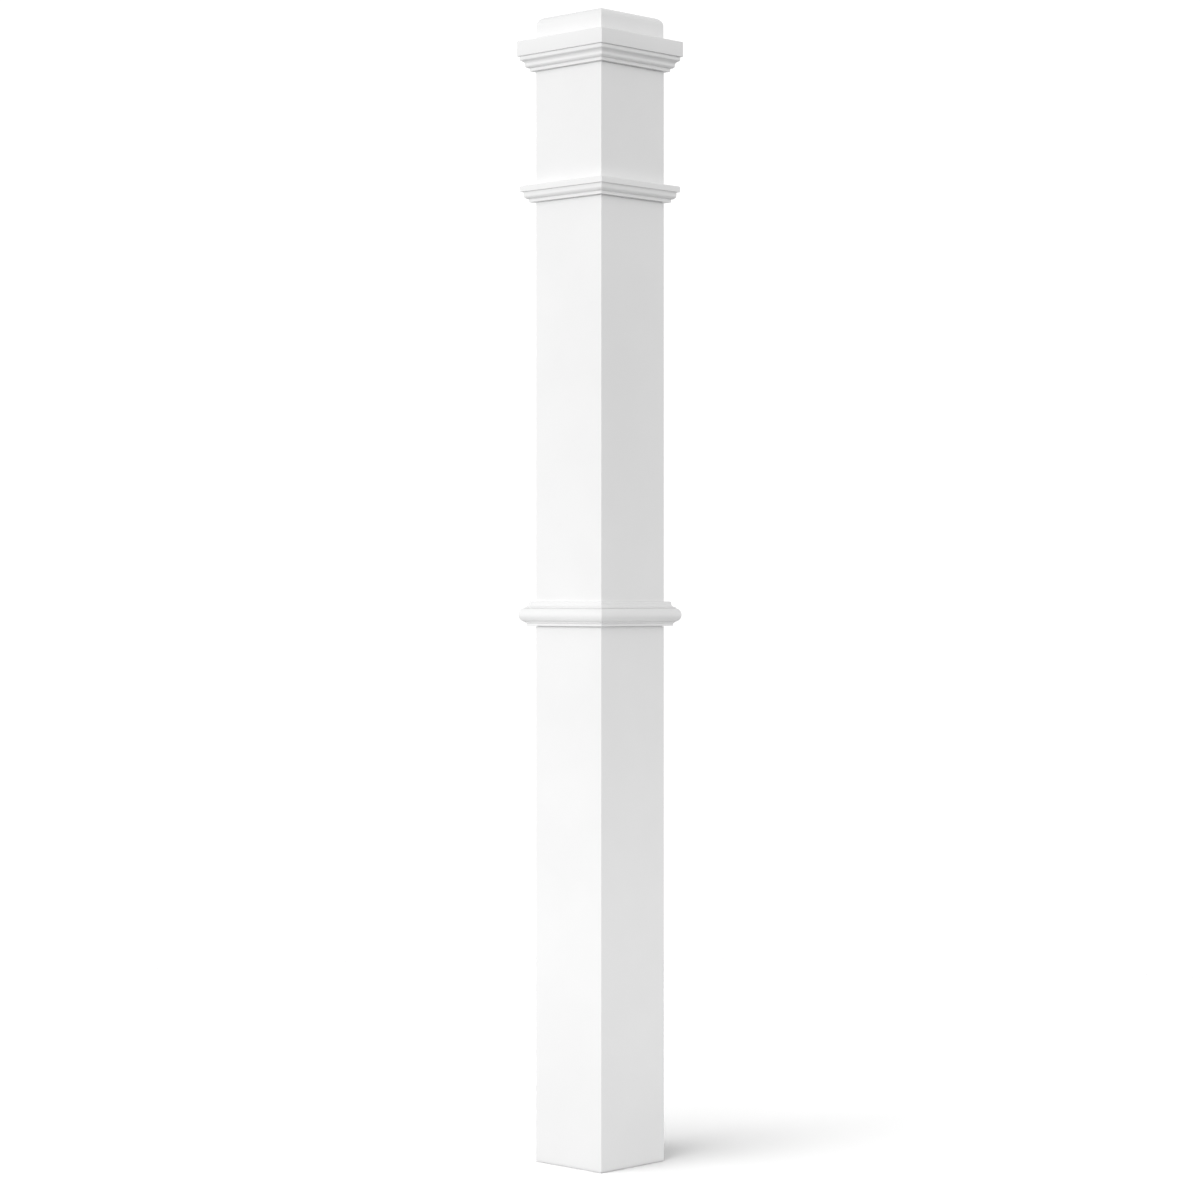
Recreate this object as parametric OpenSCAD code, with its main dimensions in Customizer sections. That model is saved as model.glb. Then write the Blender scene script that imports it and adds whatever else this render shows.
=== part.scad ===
// Box newel post: a hollow square shaft of four mitred boards, a neck moulding and
// a middle band planted round it, and a cap of plate, block and crown moulding.
// Millimetres, +Z up, origin on the floor at the middle of the shaft.

/* [Shaft] */
// Width of the square shaft, face to face
shaft_w = 127; // [90:1:200]
// Length of the four boards, from the floor to the cap plate
shaft_h = 1549.4; // [1250:0.1:2400]
// Thickness of the boards
board_t = 19.05; // [12:0.05:25]

/* [Cap] */
// How far the cap plate stands out beyond the crown moulding
plate_reveal = 2.9; // [0:0.1:20]
// Thickness of the cap plate
plate_t = 21.2; // [12:0.1:40]
// Radius that eases the plate's top edges
plate_ease = 1.4; // [0.4:0.1:5]
// How far the cap block's faces stand back from the shaft's
block_inset = 0.3; // [0:0.1:20]
// Height of the cap block
block_h = 33; // [15:0.1:60]
// Radius of the round along the block's top edges
block_round = 11; // [2:0.1:14]

/* [Crown moulding, under the cap plate] */
// Height of the crown moulding; the bead at its top takes what the curves below leave
crown_h = 21; // [18:0.1:40]
// How far its bead stands out from the shaft
crown_out = 16.2; // [15:0.1:20]
// How far the waist between cove and ovolo stands out
crown_waist_out = 11; // [10.5:0.1:12.4]
// Radius of the cove under the bead
crown_cove_r = 5.4; // [3:0.1:7.5]
// Turn of the cove, in degrees
crown_cove_turn = 70; // [45:1:75]
// Height of the flat waist between cove and ovolo
crown_waist_h = 0.9; // [0.2:0.1:4]
// Radius of the ovolo under the waist
crown_ovolo_r = 4.3; // [2:0.1:4.6]
// Height of the foot fillet
crown_foot_h = 4.3; // [2:0.1:8]
// How far the foot fillet stands out from the shaft
crown_foot_out = 6.2; // [4:0.1:6.4]

/* [Neck moulding, under the handrail] */
// Clear face of the shaft between neck and crown, where the handrail lands
rail_zone_h = 160.6; // [100:0.1:400]
// How far its top fillet stands out from the shaft
neck_out = 16; // [13:0.1:30]
// Height of the top fillet
neck_fillet_h = 8.3; // [5:0.1:16]
// Radius that eases the top fillet's upper edge
neck_ease = 1.4; // [0.4:0.1:4]
// How far the ovolo stands out from the shaft
neck_ovolo_out = 12.4; // [12.4:0.1:15]
// Radius of the ovolo
neck_ovolo_r = 5.3; // [2:0.1:5.3]
// Height of the flat between the top fillet and the ovolo
neck_flat_h = 5; // [0.5:0.1:12]
// Height of the foot fillet
neck_foot_h = 4.2; // [2:0.1:12]
// How far the foot fillet stands out from the shaft
neck_foot_out = 7.1; // [4:0.1:7.1]

/* [Middle band] */
// Height of the band's underside above the floor
band_z = 751.2; // [300:0.1:1100]
// How far its half round stands out from the shaft
band_out = 17.5; // [14:0.1:30]
// Height of the half round
band_round_h = 19.2; // [10:0.1:40]
// How far the half round stands out from its two quirks
band_round_d = 7; // [3:0.1:7]
// How far the foot fillet stands out from the shaft
band_foot_out = 9.1; // [4:0.1:10]
// Height of the foot fillet
band_foot_h = 2.5; // [1:0.1:8]
// Radius of the cove between foot fillet and lower step
band_foot_cove_r = 2.1; // [1:0.1:2.8]
// Height of the steps above and below the half round
band_step_h = 1.2; // [0.6:0.1:4]
// Radius of the cove above the upper step
band_cove_r = 4.8; // [2:0.1:5]
// How far the top fillet stands out from the shaft
band_fillet_out = 7.2; // [4:0.1:8]
// Height of the top fillet
band_fillet_h = 3.2; // [2.4:0.1:10]
// Radius that eases the top fillet's upper edge
band_ease = 1.8; // [0.4:0.1:2.2]

/* [Hidden] */
SIDES = ["front", "right", "back", "left"];
LENGTHS = ["shaft_board", "crown_moulding", "neck_moulding", "band_moulding"];

neck_h = neck_foot_h + neck_ovolo_r + neck_flat_h + neck_fillet_h;
band_h = band_foot_h + band_foot_cove_r + band_round_h + 2 * band_step_h
    + band_cove_r + band_fillet_h;
crown_z = shaft_h - crown_h;
neck_z = crown_z - rail_zone_h - neck_h;
plate_w = shaft_w + 2 * (crown_out + plate_reveal);
block_w = shaft_w - 2 * block_inset;
// How far a cutting shape runs past what it cuts
overrun = 1;

// Points along an arc round [x, y], from one angle to another; the radii may differ.
function arc(x, y, rx, ry, from, to, steps = 12) =
    [for (i = [0 : steps]) let (a = from + (to - from) * i / steps) [x + rx * cos(a), y + ry * sin(a)]];

// Turns what is built at the front to one of the four sides.
module on_side(i) rotate([0, 0, 90 * i]) children();

// The four lengths are profiles in which x stands out from the shaft's face and y rises
// from the moulding's underside. Each foot fillet ends in an ovolo or a cove.
module crown_profile() {
    ovolo_y = crown_foot_h + crown_ovolo_r;
    cove_y = ovolo_y + crown_waist_h;
    bead_y = cove_y + crown_cove_r * sin(crown_cove_turn);
    // the bead's nose runs on from the cove, or stops short of the top on a deep moulding
    nose_r = min((crown_out - crown_waist_out) / (1 - cos(crown_cove_turn)) - crown_cove_r,
        (crown_h - bead_y - 1) / sin(crown_cove_turn));
    polygon(concat(
        [[0, 0], [crown_foot_out, 0], [crown_foot_out, crown_foot_h]],
        arc(crown_waist_out - crown_ovolo_r, ovolo_y, crown_ovolo_r, crown_ovolo_r, -90, 0),
        arc(crown_waist_out + crown_cove_r, cove_y, crown_cove_r, crown_cove_r, 180, 180 - crown_cove_turn),
        arc(crown_out - nose_r, bead_y + nose_r * sin(crown_cove_turn), nose_r, nose_r,
            -crown_cove_turn * 5 / 6, 0, 5),
        [[crown_out, crown_h], [0, crown_h]]
    ));
}

module neck_profile() {
    ovolo_y = neck_foot_h + neck_ovolo_r;
    fillet_y = neck_h - neck_fillet_h;
    polygon(concat(
        [[0, 0], [neck_foot_out, 0], [neck_foot_out, neck_foot_h]],
        arc(neck_ovolo_out - neck_ovolo_r, ovolo_y, neck_ovolo_r, neck_ovolo_r, -90, 0),
        [[neck_ovolo_out, fillet_y], [neck_out, fillet_y]],
        arc(neck_out - neck_ease, neck_h - neck_ease, neck_ease, neck_ease, 0, 90, 6),
        [[0, neck_h]]
    ));
}

// Steps and fillets first, then the half round that covers the steps' inner ends.
module band_profile() {
    quirk_out = band_out - band_round_d;
    lower_step_out = band_foot_out + band_foot_cove_r;
    round_y = band_foot_h + band_foot_cove_r + band_step_h;
    upper_step_out = band_fillet_out + band_cove_r;
    cove_y = round_y + band_round_h + band_step_h;
    polygon(concat(
        [[0, 0], [band_foot_out, 0]],
        arc(lower_step_out, band_foot_h, band_foot_cove_r, band_foot_cove_r, 180, 90, 8),
        [[lower_step_out, round_y + band_step_h], [quirk_out, round_y + band_step_h]],
        [[quirk_out, cove_y - 2 * band_step_h], [upper_step_out, cove_y - 2 * band_step_h]],
        arc(upper_step_out, cove_y + band_cove_r, band_cove_r, band_cove_r, -90, -180),
        arc(band_fillet_out - band_ease, band_h - band_ease, band_ease, band_ease, 0, 90, 6),
        [[0, band_h]]
    ));
    polygon(concat(
        [[0, round_y]],
        arc(quirk_out, round_y + band_round_h / 2, band_round_d, band_round_h / 2, -90, 90, 32),
        [[0, round_y + band_round_h]]
    ));
}

// One length of moulding on the front face, mitred at both ends, from its child profile.
module mitred_length(z, height, out) {
    reach = shaft_w / 2 + out + overrun;
    color("white") translate([0, 0, z]) intersection() {
        translate([-reach, -shaft_w / 2, 0]) rotate([90, 0, 90])
            linear_extrude(2 * reach) mirror([1, 0]) children();
        translate([0, 0, -overrun]) linear_extrude(height + 2 * overrun)
            polygon([[0, 0], [-reach, -reach], [reach, -reach]]);
    }
}

// A square slab whose top edges are rounded and mitre at the corners.
module rounded_slab(width, height, r) {
    half = width / 2;
    module prism() rotate([90, 0, 0]) linear_extrude(width + 2 * overrun, center = true)
        polygon(concat(
            [[-half, 0], [half, 0]],
            arc(half - r, height - r, r, r, 0, 90, 8),
            arc(r - half, height - r, r, r, 90, 180, 8)
        ));
    intersection() {
        prism();
        rotate([0, 0, 90]) prism();
    }
}

// The front board of the shaft, mitred along both long edges.
module shaft_board() {
    outer = shaft_w / 2;
    inner = outer - board_t;
    color("whitesmoke") linear_extrude(shaft_h)
        polygon([[-outer, -outer], [outer, -outer], [inner, -inner], [-inner, -inner]]);
}

module crown_moulding() mitred_length(crown_z, crown_h, crown_out) crown_profile();
module neck_moulding() mitred_length(neck_z, neck_h, neck_out) neck_profile();
module band_moulding() mitred_length(band_z, band_h, band_out) band_profile();

module cap_plate() color("white") translate([0, 0, shaft_h])
    rounded_slab(plate_w, plate_t, plate_ease);

module cap_block() color("whitesmoke") translate([0, 0, shaft_h + plate_t])
    rounded_slab(block_w, block_h, block_round);

for (i = [0 : 3]) {
    on_side(i) shaft_board();
    on_side(i) crown_moulding();
    on_side(i) neck_moulding();
    on_side(i) band_moulding();
}
cap_plate();
cap_block();
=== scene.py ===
# %% [markdown]
# # A painted box newel post
# A newel post ends a run of stair rail or stands where the rail turns. This one is a box
# newel: four boards mitred into a hollow square shaft, three mouldings planted round it,
# and a cap made of a square plate and a block. All of it is wood under white paint.
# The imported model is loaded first. It holds one plain solid for each piece of wood, and
# each piece made below takes the place of its solid, inside the same box.

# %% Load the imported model
import math

import bmesh
import bpy
from mathutils import Matrix, Vector


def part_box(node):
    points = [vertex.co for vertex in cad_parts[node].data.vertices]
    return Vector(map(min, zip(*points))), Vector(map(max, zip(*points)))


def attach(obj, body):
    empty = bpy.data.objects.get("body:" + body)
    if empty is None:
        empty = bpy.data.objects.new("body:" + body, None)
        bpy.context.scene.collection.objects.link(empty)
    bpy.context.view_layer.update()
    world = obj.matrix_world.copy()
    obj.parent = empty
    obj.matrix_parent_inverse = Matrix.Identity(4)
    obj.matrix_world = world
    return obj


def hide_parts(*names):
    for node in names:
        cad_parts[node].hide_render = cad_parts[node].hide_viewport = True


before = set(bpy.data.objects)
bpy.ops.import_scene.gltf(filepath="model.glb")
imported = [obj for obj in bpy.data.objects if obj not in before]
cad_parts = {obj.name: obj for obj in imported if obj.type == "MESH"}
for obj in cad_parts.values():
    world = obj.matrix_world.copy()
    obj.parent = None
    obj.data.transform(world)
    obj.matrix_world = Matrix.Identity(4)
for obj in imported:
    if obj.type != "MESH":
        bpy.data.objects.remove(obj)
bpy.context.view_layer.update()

print("plain solids:", len(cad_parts))

# %% [markdown]
# ## The camera
# A camera that stands level keeps the post's upright lines upright. It looks at the
# front right arris, with the front face on the left and the right face on the right.
# A long lens from over four metres keeps the two faces' lines close to parallel, and a
# slight downward shift centres the post without tilting the camera.

# %% Camera
DISTANCE = 4.32
EYE_HEIGHT = 0.8
AZIMUTH = math.radians(43.9)
LENS_MM = 92.4
SENSOR_MM = 36
DOWNWARD_SHIFT = 0.0075

camera_data = bpy.data.cameras.new("studio_camera")
camera_data.lens = LENS_MM
camera_data.sensor_width = SENSOR_MM
camera_data.shift_y = -DOWNWARD_SHIFT
camera = bpy.data.objects.new("studio_camera", camera_data)
camera.location = (DISTANCE * math.sin(AZIMUTH), -DISTANCE * math.cos(AZIMUTH), EYE_HEIGHT)
camera.rotation_euler = (math.pi / 2, 0, AZIMUTH)
bpy.context.scene.collection.objects.link(camera)
bpy.context.scene.camera = camera
print("camera at", [round(x, 2) for x in camera.location])

# %% [markdown]
# ## Colours and nodes
# Paint makers give a colour as a hex value, and a shader wants linear light. One
# function turns one into the other. A second one adds any node to a material: its
# settings are plain names, and its inputs are values or another node's output.

# %% Two helpers for materials
def linear(hex_colour):
    """The linear RGBA of an sRGB hex colour."""
    channels = [int(hex_colour[i:i + 2], 16) / 255 for i in (1, 3, 5)]
    light = [c / 12.92 if c <= 0.04045 else ((c + 0.055) / 1.055) ** 2.4 for c in channels]
    return light + [1.0]


def add_node(tree, kind, inputs=None, **settings):
    """Adds a node, sets its options, and sets or links its inputs."""
    node = tree.nodes.new(kind)
    for name, value in settings.items():
        setattr(node, name, value)
    for name, value in (inputs or {}).items():
        if isinstance(value, bpy.types.NodeSocket):
            tree.links.new(value, node.inputs[name])
        else:
            node.inputs[name].default_value = value
    return node


print("half of full white, as light:", round(linear("#808080")[0], 3))

# %% [markdown]
# ## Satin enamel on wood
# The post is primed poplar under two coats of white satin enamel, brushed out along the
# grain. Three things keep such a surface from being one flat white. The film is a little
# thicker in some places than in others, so the white drifts by up to three per cent over
# a hand's width. Bristle marks and the wood's own grain run lengthwise under it. And the
# film has a soft stipple, like the skin of an orange, that breaks up its sheen.
# Bristle marks are about half a millimetre apart, and the stipple is as fine. They are
# drawn 4 mm and 2.5 mm apart here, since finer ones wouldn't show on a post seen whole.

# %% Satin enamel
AXES = ("X", "Y", "Z")
THIN_FILM = "#EEEEEE"
FULL_FILM = "#F1F1F1"
PATCH_SIZE = 0.15
MARK_WIDTH = 0.004
MARK_LENGTH = 0.3
MARK_DEPTH = 0.000005
STIPPLE_CELL = 0.0025
STIPPLE_DEPTH = 0.000004
SMOOTH_SHEEN = 0.23
DULL_SHEEN = 0.26


def satin_enamel(name, grain):
    """White satin enamel on wood whose grain runs along one axis."""
    paint = bpy.data.materials.new(name)
    paint.use_nodes = True
    tree = paint.node_tree
    tree.nodes.clear()
    place = add_node(tree, "ShaderNodeTexCoord").outputs["Object"]

    # film thickness: a slow drift between two whites
    patches = add_node(tree, "ShaderNodeTexNoise", {
        "Vector": place, "Scale": 1 / PATCH_SIZE, "Detail": 3.0, "Roughness": 0.5})
    tone = add_node(tree, "ShaderNodeValToRGB", {"Fac": patches.outputs["Fac"]})
    tone.color_ramp.elements[0].position = 0.35
    tone.color_ramp.elements[0].color = linear(THIN_FILM)
    tone.color_ramp.elements[1].position = 0.65
    tone.color_ramp.elements[1].color = linear(FULL_FILM)

    # bristle marks and grain: noise squeezed across the grain and drawn out along it
    squeeze = [1 / MARK_LENGTH if axis == grain else 1 / MARK_WIDTH for axis in AXES]
    along = add_node(tree, "ShaderNodeMapping", {"Vector": place, "Scale": squeeze})
    marks = add_node(tree, "ShaderNodeTexNoise", {
        "Vector": along.outputs["Vector"], "Scale": 1.0, "Detail": 2.0, "Roughness": 0.6})
    stipple = add_node(tree, "ShaderNodeTexNoise", {
        "Vector": place, "Scale": 1 / STIPPLE_CELL, "Detail": 1.0, "Roughness": 0.4})

    # both are real relief: a few thousandths of a millimetre of paint
    marked = add_node(tree, "ShaderNodeBump", {
        "Height": marks.outputs["Fac"], "Strength": 1.0, "Distance": MARK_DEPTH})
    stippled = add_node(tree, "ShaderNodeBump", {
        "Height": stipple.outputs["Fac"], "Strength": 1.0, "Distance": STIPPLE_DEPTH,
        "Normal": marked.outputs["Normal"]})

    # a satin sheen that is slightly duller in some of the marks than in others
    sheen = add_node(tree, "ShaderNodeMapRange", {
        "Value": marks.outputs["Fac"], "From Min": 0.3, "From Max": 0.7,
        "To Min": SMOOTH_SHEEN, "To Max": DULL_SHEEN})
    surface = add_node(tree, "ShaderNodeBsdfPrincipled", {
        "Base Color": tone.outputs["Color"], "Roughness": sheen.outputs["Result"],
        "IOR": 1.5, "Normal": stippled.outputs["Normal"]})
    add_node(tree, "ShaderNodeOutputMaterial", {"Surface": surface.outputs["BSDF"]})
    return paint


enamel = {axis: satin_enamel("satin_enamel_grain_" + axis.lower(), axis) for axis in AXES}
print("paints:", [paint.name for paint in enamel.values()])

# %% [markdown]
# ## Bare poplar
# Paint stops where nobody looks: the inside of the box and the sawn ends that stand on
# the floor are bare poplar. A tree's rings are rings round its pith, so one pattern of
# rings round a line beside the post gives long arches on the inner faces and arcs on
# the sawn ends. Poplar's rings are about 3 mm apart, pale straw with a green tinge, and
# fibres 0.7 mm wide and 50 mm long fleck it. They are drawn a little coarse to show.

# %% Bare poplar
RING_SPACING = 0.003
# the Wave texture draws one ring in 0.314 of a unit at scale 1
RING_UNIT = 0.314
# where the pith passes the post, and its slight lean, which makes the arches
PITH_OFFSET = (0.11, 0.14, 0)
PITH_LEAN = (0.03, 0.02, 0)
# what bends the rings changes slowly along the trunk
ALONG_TRUNK = (1, 1, 0.06)
FIBRES_PER_METRE = (1400, 1400, 20)
EARLY_WOOD = "#D2C399"
LATE_WOOD = "#B8A67A"
SAW_MARK_DEPTH = 0.0001


def bare_poplar(name):
    """Sawn poplar, with rings round a pith that lies outside the boards."""
    wood = bpy.data.materials.new(name)
    wood.use_nodes = True
    tree = wood.node_tree
    tree.nodes.clear()
    place = add_node(tree, "ShaderNodeTexCoord").outputs["Object"]
    pith = add_node(tree, "ShaderNodeMapping", {
        "Vector": place, "Location": PITH_OFFSET, "Rotation": PITH_LEAN,
        "Scale": ALONG_TRUNK})
    rings = add_node(tree, "ShaderNodeTexWave", {
        "Vector": pith.outputs["Vector"], "Scale": RING_UNIT / RING_SPACING,
        "Distortion": 6.0, "Detail": 3.0, "Detail Scale": 0.3},
        wave_type="RINGS", rings_direction="Z", wave_profile="SAW")
    fibre_squeeze = add_node(tree, "ShaderNodeMapping", {
        "Vector": place, "Scale": FIBRES_PER_METRE})
    fibres = add_node(tree, "ShaderNodeTexNoise", {
        "Vector": fibre_squeeze.outputs["Vector"], "Scale": 1.0, "Detail": 2.0})
    tone = add_node(tree, "ShaderNodeValToRGB", {"Fac": rings.outputs["Fac"]})
    tone.color_ramp.elements[0].color = linear(EARLY_WOOD)
    tone.color_ramp.elements[1].color = linear(LATE_WOOD)
    fleck = add_node(tree, "ShaderNodeMapRange", {
        "Value": fibres.outputs["Fac"], "To Min": 0.86, "To Max": 1.06})
    colour = add_node(tree, "ShaderNodeVectorMath", {
        "Vector": tone.outputs["Color"], "Scale": fleck.outputs["Result"]}, operation="SCALE")
    sawn = add_node(tree, "ShaderNodeBump", {
        "Height": fibres.outputs["Fac"], "Strength": 1.0, "Distance": SAW_MARK_DEPTH})
    surface = add_node(tree, "ShaderNodeBsdfPrincipled", {
        "Base Color": colour.outputs["Vector"], "Roughness": 0.75,
        "Normal": sawn.outputs["Normal"]})
    add_node(tree, "ShaderNodeOutputMaterial", {"Surface": surface.outputs["BSDF"]})
    return wood


poplar = bare_poplar("bare_poplar")
print("wood:", poplar.name)

# %% [markdown]
# ## From mesh to piece
# Every piece is made as if it stood at the front and is then turned to its own side,
# since all four sides are alike. Faces are shaded smooth, and an edge stays sharp where
# two faces meet at more than thirty degrees, so a small eased edge reads as one soft
# line and a fillet keeps its crisp corner. The piece then rides on the frame's one body
# in place of its solid.

# %% A helper that finishes a piece
SIDES = ("front", "right", "back", "left")
SHARP = math.radians(30)
WELD = 1e-6


def turned(bm, side):
    """A copy of a front piece, turned to another side."""
    copy = bm.copy()
    quarter_turns = Matrix.Rotation(SIDES.index(side) * math.pi / 2, 3, "Z")
    bmesh.ops.rotate(copy, cent=(0, 0, 0), matrix=quarter_turns, verts=copy.verts)
    return copy


def make_piece(bm, name, node, finishes):
    """Makes the object, gives it its finishes and hides its plain solid."""
    bmesh.ops.remove_doubles(bm, verts=bm.verts, dist=WELD)
    bmesh.ops.recalc_face_normals(bm, faces=bm.faces)
    for face in bm.faces:
        face.smooth = True
    for edge in bm.edges:
        edge.smooth = len(edge.link_faces) == 2 and edge.calc_face_angle() < SHARP
    mesh = bpy.data.meshes.new(name)
    bm.to_mesh(mesh)
    bm.free()
    for finish in finishes:
        mesh.materials.append(finish)
    piece = bpy.data.objects.new(name, mesh)
    bpy.context.scene.collection.objects.link(piece)
    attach(piece, "root")
    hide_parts(node)
    return piece


# %% [markdown]
# ## The shaft
# The real shaft is four boards with their long edges sawn at 45 degrees and glued. After
# gluing, the maker runs a block of sandpaper down each corner, so the corner's round is
# shared by two boards. Bevelling one square column and then sawing it into four gives
# just that: each board carries half of each rounded corner. The saw is a bisecting plane
# that clears what lies in front of it and closes the cut.

# %% A saw
def cut_along(bm, point, normal, clear=True):
    """Cuts the faces along a plane and clears what lies in front of it, if asked to."""
    everything = bm.verts[:] + bm.edges[:] + bm.faces[:]
    cut = bmesh.ops.bisect_plane(bm, geom=everything, dist=1e-7, plane_co=point,
                                 plane_no=normal, clear_outer=clear)
    return [part for part in cut["geom_cut"] if isinstance(part, bmesh.types.BMEdge)]


def saw(bm, point, normal):
    """Takes away what lies in front of a plane and closes the cut."""
    rim = cut_along(bm, point, normal)
    bmesh.ops.holes_fill(bm, edges=rim, sides=0)


def saw_mitres(bm):
    """Keeps only the front quarter, between the two diagonals through the middle."""
    saw(bm, (0, 0, 0), (1, 1, 0))
    saw(bm, (0, 0, 0), (-1, 1, 0))


# %% [markdown]
# ## Knife lines
# Paint bridges the joint where a moulding's underside meets a board, and it would tear
# there as the wood moves. Running a knife along the joint leaves a fine dark line that
# stays neat. A colour wouldn't do for it, since a line like this is dark because little
# light gets in. So a ring of faces between two level cuts is pushed in, towards the
# middle of the post. The lowest line stands for the joint between the post and the floor.

# %% A knife line
LINE_WIDTH = 0.0008
LINE_DEPTH = 0.0014
FOOT_LINE_TOP = 0.001


def score(bm, top, half_width):
    """Runs a knife line round a square column just under a height."""
    foot = top - LINE_WIDTH
    for level in (foot, top):
        cut_along(bm, (0, 0, level), (0, 0, 1), clear=False)
    ring = [f for f in bm.faces if foot < f.calc_center_median().z < top]
    bmesh.ops.inset_region(bm, faces=ring, thickness=0, depth=0)
    pushed_in = list({v for f in ring for v in f.verts})
    shrink = (half_width - LINE_DEPTH) / half_width
    bmesh.ops.scale(bm, vec=(shrink, shrink, 1), verts=pushed_in)


print("knife lines are", LINE_WIDTH * 1000, "mm wide")

# %% [markdown]
# ## The four boards
# The column takes its width and height from the front board's plain solid. It is
# rounded down its corners and scored, sawn along the diagonals, and sawn once more
# behind the board, which leaves the hollow. Then the one board is turned to four sides.
# The outer skin is painted, and the rest of the board is left bare.

# %% The four boards
ARRIS = 0.0005
TALL_EDGE = 0.01
PAINTED_SKIN = 0.002
MOULDINGS = ("crown_moulding", "neck_moulding", "band_moulding")


def upright_edges(bm):
    """The edges that rise by more than a centimetre."""
    return [e for e in bm.edges if abs(e.verts[0].co.z - e.verts[1].co.z) > TALL_EDGE]


def round_over(bm, edges, radius, segments):
    """Rounds edges, and never further than there is room for."""
    bmesh.ops.bevel(bm, geom=edges, affect="EDGES", offset=radius, segments=segments,
                    profile=0.5, material=-1, clamp_overlap=True)


shaft_low, shaft_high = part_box("shaft_board_front")
half_shaft = shaft_high.x
board_thickness = shaft_high.y - shaft_low.y
shaft_height = shaft_high.z

board = bmesh.new()
bmesh.ops.create_cube(board, size=1)
bmesh.ops.scale(board, vec=(2 * half_shaft, 2 * half_shaft, shaft_height), verts=board.verts)
bmesh.ops.translate(board, vec=(0, 0, shaft_height / 2), verts=board.verts)
round_over(board, upright_edges(board), ARRIS, 5)
for moulding in MOULDINGS:
    score(board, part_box(moulding + "_front")[0].z, half_shaft)
score(board, FOOT_LINE_TOP, half_shaft)
saw_mitres(board)
saw(board, (0, -half_shaft + board_thickness, 0), (0, 1, 0))
for face in board.faces:
    behind_front = face.calc_center_median().y + half_shaft
    face.material_index = 0 if behind_front < PAINTED_SKIN else 1

for side in SIDES:
    make_piece(turned(board, side), "board_" + side, "shaft_board_" + side,
               [enamel["Z"], poplar])
print("boards:", round(shaft_height * 1000, 1), "mm long,", len(board.faces), "faces each")

# %% [markdown]
# ## How a moulding is made
# A moulding is run: a plank is pushed past a cutter ground to the section, and the
# length is then mitred where it meets its neighbours. The section is drawn here the way
# a draughtsman draws it, by moving a pencil: straight moves by extruding the last point,
# and arcs by spinning it round a centre. Outward is towards the front and up is up.
# The section is then drawn out along the face, and its crisp edges lose a quarter of a
# millimetre, which is what sanding and two coats of paint take off them.

# %% Drawing a section
def start_section(z):
    """A new drawing, with the pencil on the shaft's front face."""
    bm = bmesh.new()
    start = bmesh.ops.create_vert(bm, co=(0, -half_shaft, z))["vert"][0]
    return bm, start


def straight(bm, point, out=0.0, up=0.0):
    """Moves the pencil out from the face and up, in millimetres."""
    moved = bmesh.ops.extrude_vert_indiv(bm, verts=[point])["verts"][0]
    moved.co += Vector((0, -out, up)) / 1000
    return moved


def arc(bm, point, centre_out, centre_up, turn, steps=12):
    """Spins the pencil round a centre given from where it is; a positive turn is anticlockwise
    for someone who looks along the length with the front on the right."""
    centre = point.co + Vector((0, -centre_out, centre_up)) / 1000
    swept = bmesh.ops.spin(bm, geom=[point], cent=centre, axis=(-1, 0, 0),
                           angle=math.radians(turn), steps=steps)
    return next(v for v in swept["geom_last"] if isinstance(v, bmesh.types.BMVert))


# %% [markdown]
# ## Running a length
# The drawing is closed along the shaft's face and drawn out to both sides, further than
# the length needs. Only edges that stand out are eased. The inner corners stay crisp,
# and so do the edges right at the face, where the length is glued on.

# %% Running a length
EASE = 0.00025
HALF_RUN = 0.15
GLUED_ZONE = 0.001


def standing_edges(bm):
    """The sharp lengthwise edges that stand out, clear of the face that is glued on."""
    found = []
    for edge in bm.edges:
        if len(edge.link_faces) == 2 and edge.is_convex and edge.calc_face_angle() > SHARP:
            if max(v.co.y for v in edge.verts) < -half_shaft - GLUED_ZONE:
                found.append(edge)
    return found


def run_length(bm, first, last):
    """Brings the pencil back to the face, draws the section out and eases its edges."""
    back = straight(bm, last, out=(last.co.y + half_shaft) * 1000)
    bm.edges.new((back, first))
    bmesh.ops.translate(bm, vec=(-HALF_RUN, 0, 0), verts=bm.verts)
    run = bmesh.ops.extrude_edge_only(bm, edges=bm.edges)
    fresh = [v for v in run["geom"] if isinstance(v, bmesh.types.BMVert)]
    bmesh.ops.translate(bm, vec=(2 * HALF_RUN, 0, 0), verts=fresh)
    bmesh.ops.recalc_face_normals(bm, faces=bm.faces)
    round_over(bm, standing_edges(bm), EASE, 2)


# %% [markdown]
# ## Mitring the corners
# Two lengths meet at each corner of the post, and they are sanded together after they
# are glued. So the length is first cut back to its quarter of the plan, and three spun
# copies close the ring. The ring's corners are rounded, and the front quarter is sawn
# out again, which leaves half of each rounded corner on it.

# %% Mitring the corners
CORNER_EASE = 0.0006
CORNER_START = 0.0005
DIAGONAL_SLACK = 1e-5


def on_diagonal(edge):
    """Whether an edge lies over one of the plan's two diagonals."""
    return all(abs(abs(v.co.x) - abs(v.co.y)) < DIAGONAL_SLACK for v in edge.verts)


def mitre_corners(bm):
    """Makes a full ring from the length, rounds its corners and keeps the front quarter."""
    for normal in ((1, 1, 0), (-1, 1, 0)):
        cut_along(bm, (0, 0, 0), normal)
    quarter = bm.verts[:] + bm.edges[:] + bm.faces[:]
    bmesh.ops.spin(bm, geom=quarter, cent=(0, 0, 0), axis=(0, 0, 1), angle=1.5 * math.pi,
                   steps=3, use_duplicate=True)
    bmesh.ops.remove_doubles(bm, verts=bm.verts, dist=WELD)
    bmesh.ops.recalc_face_normals(bm, faces=bm.faces)
    corners = [e for e in bm.edges if on_diagonal(e)
               and max(abs(v.co.x) for v in e.verts) > half_shaft + CORNER_START]
    round_over(bm, corners, CORNER_EASE, 3)
    saw_mitres(bm)


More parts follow.
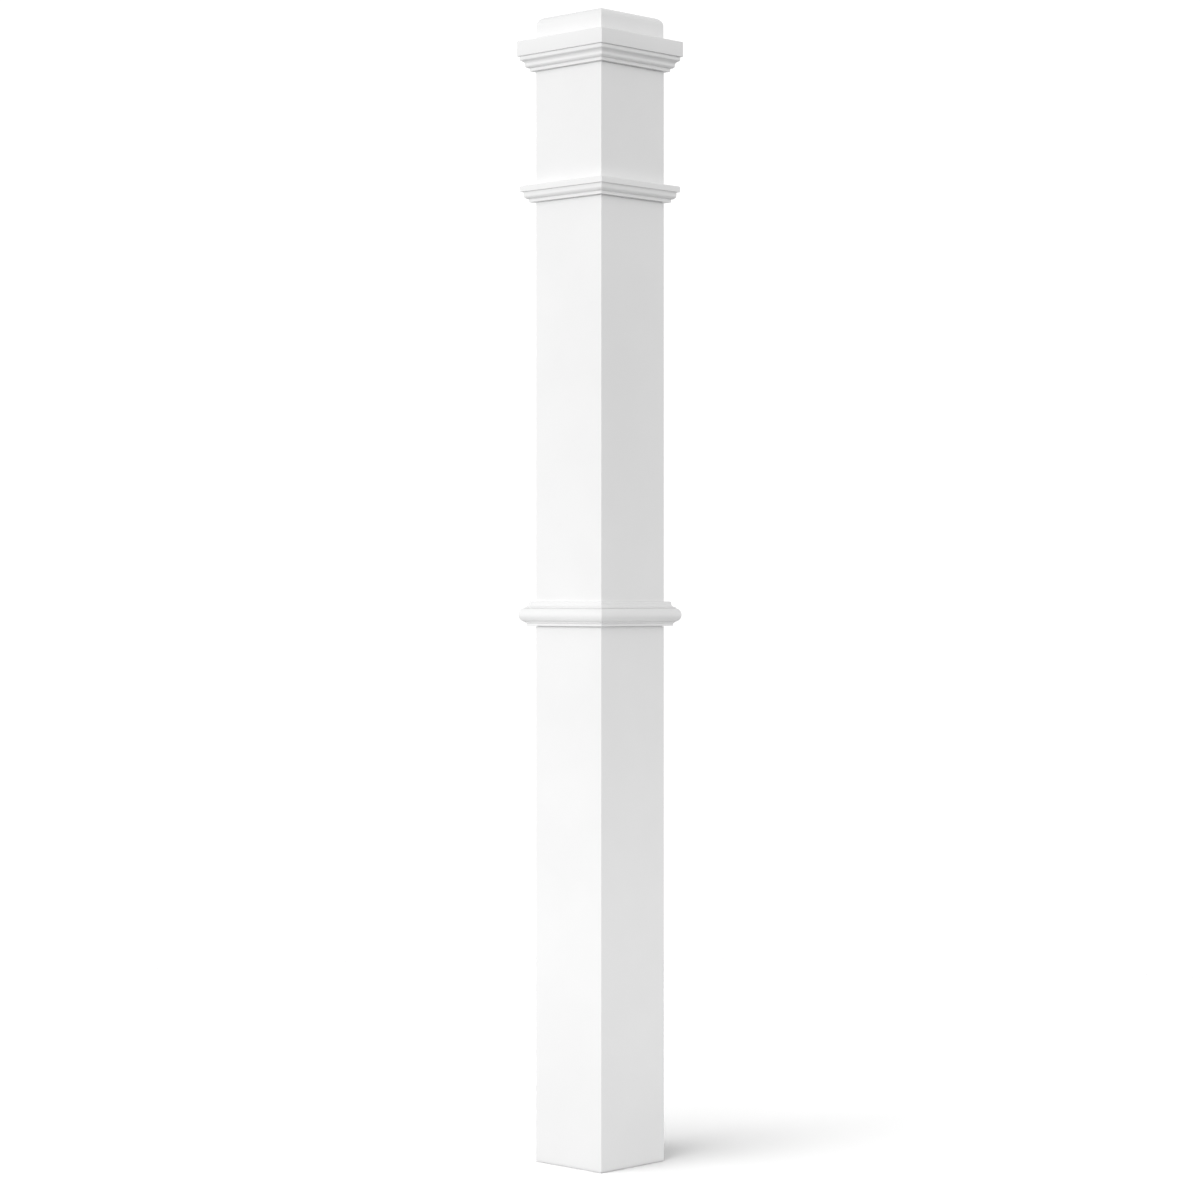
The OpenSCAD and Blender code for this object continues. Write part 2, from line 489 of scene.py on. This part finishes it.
def place_lengths(bm, name):
    """One length to each side, with the grain of its paint along it."""
    node = name + "_moulding"
    for side in SIDES:
        grain = "X" if side in ("front", "back") else "Y"
        make_piece(turned(bm, side), name + "_" + side, node + "_" + side,
                   [enamel[grain]])
    low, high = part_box(node + "_front")
    print(name, "stands out", round((-half_shaft - low.y) * 1000, 1), "mm,",
          round((high.z - low.z) * 1000, 1), "mm high,", len(bm.faces), "faces a length")


# %% [markdown]
# ## The crown moulding
# Right under the cap a crown moulding steps the post's width out to the plate's: a foot
# fillet, an ovolo, a waist, and a cove that sweeps out under a bead. The cove turns
# seventy degrees and its end is tangent to the bead's small nose.

# %% Crown moulding
# in millimetres, from the foot up
CROWN_FOOT_OUT = 6.2
CROWN_FOOT_HEIGHT = 4.3
CROWN_LEDGE = 0.5
CROWN_OVOLO = 4.3
CROWN_WAIST = 0.9
CROWN_COVE = 5.4
CROWN_NOSE = 2.503
CROWN_TURN = 70
CROWN_TOP_EASE = 0.8

low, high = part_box("crown_moulding_front")
crown, first = start_section(low.z)
point = straight(crown, first, out=CROWN_FOOT_OUT)
point = straight(crown, point, up=CROWN_FOOT_HEIGHT)
point = straight(crown, point, out=CROWN_LEDGE)
point = arc(crown, point, 0, CROWN_OVOLO, 90)
point = straight(crown, point, up=CROWN_WAIST)
point = arc(crown, point, CROWN_COVE, 0, -CROWN_TURN)
nose_in = CROWN_NOSE * math.cos(math.radians(CROWN_TURN))
nose_up = CROWN_NOSE * math.sin(math.radians(CROWN_TURN))
point = arc(crown, point, -nose_in, nose_up, CROWN_TURN, 5)
point = straight(crown, point, up=(high.z - point.co.z) * 1000 - CROWN_TOP_EASE)
point = arc(crown, point, -CROWN_TOP_EASE, 0, 90, 4)
run_length(crown, first, point)
mitre_corners(crown)
place_lengths(crown, "crown")

# %% [markdown]
# ## The neck moulding
# Below the face where the handrail lands, the neck moulding carries the eye round the
# post: a foot fillet, an ovolo, a short flat, and a broad fillet that overhangs it.

# %% Neck moulding
# in millimetres, from the foot up
NECK_FOOT_OUT = 7.1
NECK_FOOT_HEIGHT = 4.2
NECK_OVOLO = 5.3
NECK_FLAT = 5
NECK_OVERHANG = 3.6
NECK_FILLET = 6.9
NECK_TOP_EASE = 1.4

neck, first = start_section(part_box("neck_moulding_front")[0].z)
point = straight(neck, first, out=NECK_FOOT_OUT)
point = straight(neck, point, up=NECK_FOOT_HEIGHT)
point = arc(neck, point, 0, NECK_OVOLO, 90)
point = straight(neck, point, up=NECK_FLAT)
point = straight(neck, point, out=NECK_OVERHANG)
point = straight(neck, point, up=NECK_FILLET)
point = arc(neck, point, -NECK_TOP_EASE, 0, 90, 6)
run_length(neck, first, point)
mitre_corners(neck)
place_lengths(neck, "neck")

# %% [markdown]
# ## The band
# Halfway up, a band belts the post: a half round between two small steps, on a foot with
# a little cove, and under a deeper cove that runs up into a thin fillet. The half round
# is taller than it is deep, so it is spun as a true half circle and then stretched.

# %% Band
# in millimetres, from the foot up
BAND_FOOT_OUT = 9.1
BAND_FOOT_HEIGHT = 2.5
BAND_FOOT_COVE = 2.1
BAND_STEP = 1.2
BAND_QUIRK = 0.7
BAND_ROUND_DEPTH = 7
BAND_ROUND_HALF_HEIGHT = 9.6
BAND_UPPER_STEP = 1.5
BAND_COVE = 4.8
BAND_FILLET = 1.4
BAND_TOP_EASE = 1.8

band, first = start_section(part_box("band_moulding_front")[0].z)
point = straight(band, first, out=BAND_FOOT_OUT)
point = straight(band, point, up=BAND_FOOT_HEIGHT)
point = arc(band, point, BAND_FOOT_COVE, 0, -90, 8)
point = straight(band, point, up=BAND_STEP)
quirk = straight(band, point, out=-BAND_QUIRK)
before = set(band.verts)
point = arc(band, quirk, 0, BAND_ROUND_DEPTH, 180, 32)
half_round = [v for v in band.verts if v not in before]
from_quirk = Matrix.Translation((0, 0, -quirk.co.z))
bmesh.ops.scale(band, vec=(1, 1, BAND_ROUND_HALF_HEIGHT / BAND_ROUND_DEPTH), space=from_quirk,
                verts=half_round)
point = straight(band, point, out=BAND_UPPER_STEP)
point = straight(band, point, up=BAND_STEP)
point = arc(band, point, 0, BAND_COVE, -90)
point = straight(band, point, up=BAND_FILLET)
point = arc(band, point, -BAND_TOP_EASE, 0, 90, 6)
run_length(band, first, point)
mitre_corners(band)
place_lengths(band, "band")

# %% [markdown]
# ## The cap
# The cap is two pieces of solid wood glued together: a wide thin plate that closes the
# shaft, and a smaller, thicker block on it. Each starts as a cube stretched to the box of
# its plain solid, and its edges are then rounded. The brush follows each side of such a
# piece, so the right and left sides take the paint whose marks run front to back.

# %% A slab
LEVEL_SLACK = 1e-5


def slab(low, high):
    """A block between two corners."""
    bm = bmesh.new()
    bmesh.ops.create_cube(bm, size=1)
    bmesh.ops.scale(bm, vec=high - low, verts=bm.verts)
    bmesh.ops.translate(bm, vec=(low + high) / 2, verts=bm.verts)
    return bm


def edges_at(bm, z):
    """The edges that lie level at a height."""
    return [e for e in bm.edges if all(abs(v.co.z - z) < LEVEL_SLACK for v in e.verts)]


def place_slab(bm, name, node):
    """Brushes the paint along each side and makes the piece."""
    for face in bm.faces:
        face.material_index = 1 if abs(face.normal.x) > abs(face.normal.y) else 0
    print(name + ":", len(bm.faces), "faces")
    make_piece(bm, name, node, [enamel["X"], enamel["Y"]])


# %% [markdown]
# ## The plate
# The plate's edges are only eased: a light pass with a small router bit along the top,
# and sandpaper on the corners and below. The top edges are rounded before the others, as
# they would be in the workshop, so that the smaller round runs up into the larger one.

# %% Plate
PLATE_TOP_ROUND = 0.0014
PLATE_ARRIS = 0.0006

low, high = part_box("cap_plate")
plate = slab(low, high)
round_over(plate, edges_at(plate, high.z), PLATE_TOP_ROUND, 6)
round_over(plate, upright_edges(plate) + edges_at(plate, low.z), PLATE_ARRIS, 3)
place_slab(plate, "plate", "cap_plate")

# %% [markdown]
# ## The block
# The block has its four top edges rounded over with a big router bit. The rounds meet
# on the diagonals in a crisp hip, which sandpaper softens a little, as it does the
# block's upright corners. Rounding the top edges first makes those hips by itself.

# %% Block
BLOCK_TOP_ROUND = 0.011
HIP_EASE = 0.0008

low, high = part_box("cap_block")
block = slab(low, high)
round_over(block, edges_at(block, high.z), BLOCK_TOP_ROUND, 12)
round_over(block, [e for e in block.edges if on_diagonal(e)], HIP_EASE, 3)
place_slab(block, "block", "cap_block")

# %% [markdown]
# ## Floor and backdrop
# The post stands on a round of pale board inside a big white shell, as it would on a
# paper sweep. The board is a light grey that its strong lamp turns white, and the camera
# alone sees it and the shell. In a studio the floor round a post is lit far brighter than
# the floor beyond, and only that part throws much light back. So a smaller glowing panel
# lies just under the board, unseen, and brightens the foot of the post. A dark card, a
# little wider than the post, lies on the panel and keeps its light out of the joint.

# %% Pieces for the stage
def stage_piece(bm, name, material):
    """A piece of the studio, which isn't part of the post."""
    mesh = bpy.data.meshes.new(name)
    bm.to_mesh(mesh)
    bm.free()
    mesh.materials.append(material)
    made = bpy.data.objects.new(name, mesh)
    bpy.context.scene.collection.objects.link(made)
    return made


def show_to(made, camera, light):
    """Chooses whether the camera sees a piece, and whether light meets it at all."""
    made.visible_camera = camera
    made.visible_diffuse = light
    made.visible_glossy = light
    made.visible_transmission = light
    made.visible_shadow = light


def round_board(radius, height):
    """A flat disc at a height."""
    bm = bmesh.new()
    bmesh.ops.create_circle(bm, cap_ends=True, segments=128, radius=radius)
    bmesh.ops.translate(bm, vec=(0, 0, height), verts=bm.verts)
    return bm


def matt_board(name, colour):
    """Board that takes light evenly and hardly shines."""
    paint = bpy.data.materials.new(name)
    paint.use_nodes = True
    surface = paint.node_tree.nodes["Principled BSDF"]
    surface.inputs["Base Color"].default_value = linear(colour)
    surface.inputs["Roughness"].default_value = 0.9
    return paint


def glowing(name, strength):
    """An even white glow, for paper that is lit too evenly to show any shading."""
    paper = bpy.data.materials.new(name)
    paper.use_nodes = True
    paper.node_tree.nodes.clear()
    glow = add_node(paper.node_tree, "ShaderNodeEmission", {
        "Color": (1, 1, 1, 1), "Strength": strength})
    add_node(paper.node_tree, "ShaderNodeOutputMaterial", {"Surface": glow.outputs["Emission"]})
    return paper


# %% [markdown]
# ## Setting the stage
# The panel and the card lie a hair below the board and below each other, since faces at
# the same height would flicker. The shell is far bigger than the board, so its seam and
# its curve never show.

# %% Floor, panel, card and shell
FLOOR_RADIUS = 2.4
PANEL_RADIUS = 1.2
PANEL_DROP = 0.0001
CARD_DROP = 0.00005
CARD_MARGIN = 0.002
SHELL_RADIUS = 20
BOARD_GREY = "#BBBBBB"
CARD_GREY = "#303030"
PANEL_GLOW = 0.70
SHELL_GLOW = 1.1

floor_board = matt_board("matt_white_board", BOARD_GREY)
floor = stage_piece(round_board(FLOOR_RADIUS, 0), "floor", floor_board)
show_to(floor, camera=True, light=False)

lit_floor = glowing("lit_floor", PANEL_GLOW)
panel = stage_piece(round_board(PANEL_RADIUS, -PANEL_DROP), "floor_glow", lit_floor)
show_to(panel, camera=False, light=True)

# painted shade: a dark card stands in for the shade right under the post's end
card = bmesh.new()
bmesh.ops.create_grid(card, x_segments=1, y_segments=1, size=half_shaft + CARD_MARGIN)
bmesh.ops.translate(card, vec=(0, 0, -CARD_DROP), verts=card.verts)
shade = stage_piece(card, "shade_under_post", matt_board("shaded_floor", CARD_GREY))
show_to(shade, camera=False, light=True)

shell = bmesh.new()
bmesh.ops.create_uvsphere(shell, u_segments=64, v_segments=32, radius=SHELL_RADIUS)
sweep = stage_piece(shell, "sweep", glowing("white_paper_sweep", SHELL_GLOW))
show_to(sweep, camera=True, light=False)
print("stage:", [made.name for made in (floor, panel, shade, sweep)])

# %% [markdown]
# ## Light from the walls
# White walls light the post from all round. They are brightest level with the post and
# a little above, dimmer towards the ceiling, and dim below, past the lit floor. The
# world's background is given that brightness by height: the first number of each stop
# runs from 0 straight down to 1 straight up, and the second is how bright it is there.

# %% The walls
SKY_STOPS = ((0.0, 0.20), (0.34, 0.23), (0.46, 1.09), (0.62, 1.12), (0.78, 0.78), (1.0, 0.65))

walls = bpy.data.worlds.new("studio_walls")
walls.use_nodes = True
walls.node_tree.nodes.clear()
direction = add_node(walls.node_tree, "ShaderNodeTexCoord").outputs["Generated"]
height = add_node(walls.node_tree, "ShaderNodeSeparateXYZ", {"Vector": direction}).outputs["Z"]
level = add_node(walls.node_tree, "ShaderNodeMapRange", {
    "Value": height, "From Min": -1.0, "From Max": 1.0}).outputs["Result"]
brightness = add_node(walls.node_tree, "ShaderNodeValToRGB", {"Fac": level})
stops = brightness.color_ramp.elements
while len(stops) < len(SKY_STOPS):
    stops.new(0.5)
for stop, (position, light) in zip(stops, SKY_STOPS):
    stop.position = position
    stop.color = (light, light, light, 1)
glow = add_node(walls.node_tree, "ShaderNodeBackground", {"Color": brightness.outputs["Color"]})
add_node(walls.node_tree, "ShaderNodeOutputWorld", {"Surface": glow.outputs["Background"]})
bpy.context.scene.world = walls
bpy.context.scene.view_settings.view_transform = "Standard"
print("walls:", len(SKY_STOPS), "steps of brightness")

# %% [markdown]
# ## The lamps
# A level softbox, as high as the top of the post, faces the front, so that face is the
# brightest, nearly even from top to bottom, and each moulding throws only a hairline of
# shadow. A lamp overhead lights the floor alone, as one with its flags drawn in would,
# and lays the soft shadow behind the post. A weak lamp on the left, a little behind,
# keeps the two hidden sides apart.

# %% The lamps
def lamp(name, kind, power, azimuth, elevation, distance=5.0, aim=(0, 0, 0)):
    """A lamp aimed at a point. Azimuth 0 is the front, and 90 is the right."""
    data = bpy.data.lights.new(name, kind)
    data.energy = power
    made = bpy.data.objects.new(name, data)
    side, up = math.radians(azimuth), math.radians(elevation)
    towards = Vector((math.sin(side) * math.cos(up), -math.cos(side) * math.cos(up), math.sin(up)))
    made.location = Vector(aim) + distance * towards
    made.rotation_euler = towards.to_track_quat("Z", "Y").to_euler()
    bpy.context.scene.collection.objects.link(made)
    return made


softbox = lamp("softbox", "AREA", power=51.5, azimuth=-8, elevation=0, distance=4.0, aim=(0, 0, 1.6))
softbox.data.shape = "SQUARE"
softbox.data.size = 1.2

floor_lamp = lamp("floor_lamp", "SUN", power=4.0, azimuth=7, elevation=77)
floor_lamp.data.angle = math.radians(24)
lit_by_floor_lamp = bpy.data.collections.new("lit_by_floor_lamp")
lit_by_floor_lamp.objects.link(floor)
floor_lamp.light_linking.receiver_collection = lit_by_floor_lamp

back_lamp = lamp("back_lamp", "SUN", power=0.5, azimuth=-100, elevation=12)
back_lamp.data.angle = math.radians(30)
print("lamps:", [made.name for made in (softbox, floor_lamp, back_lamp)])
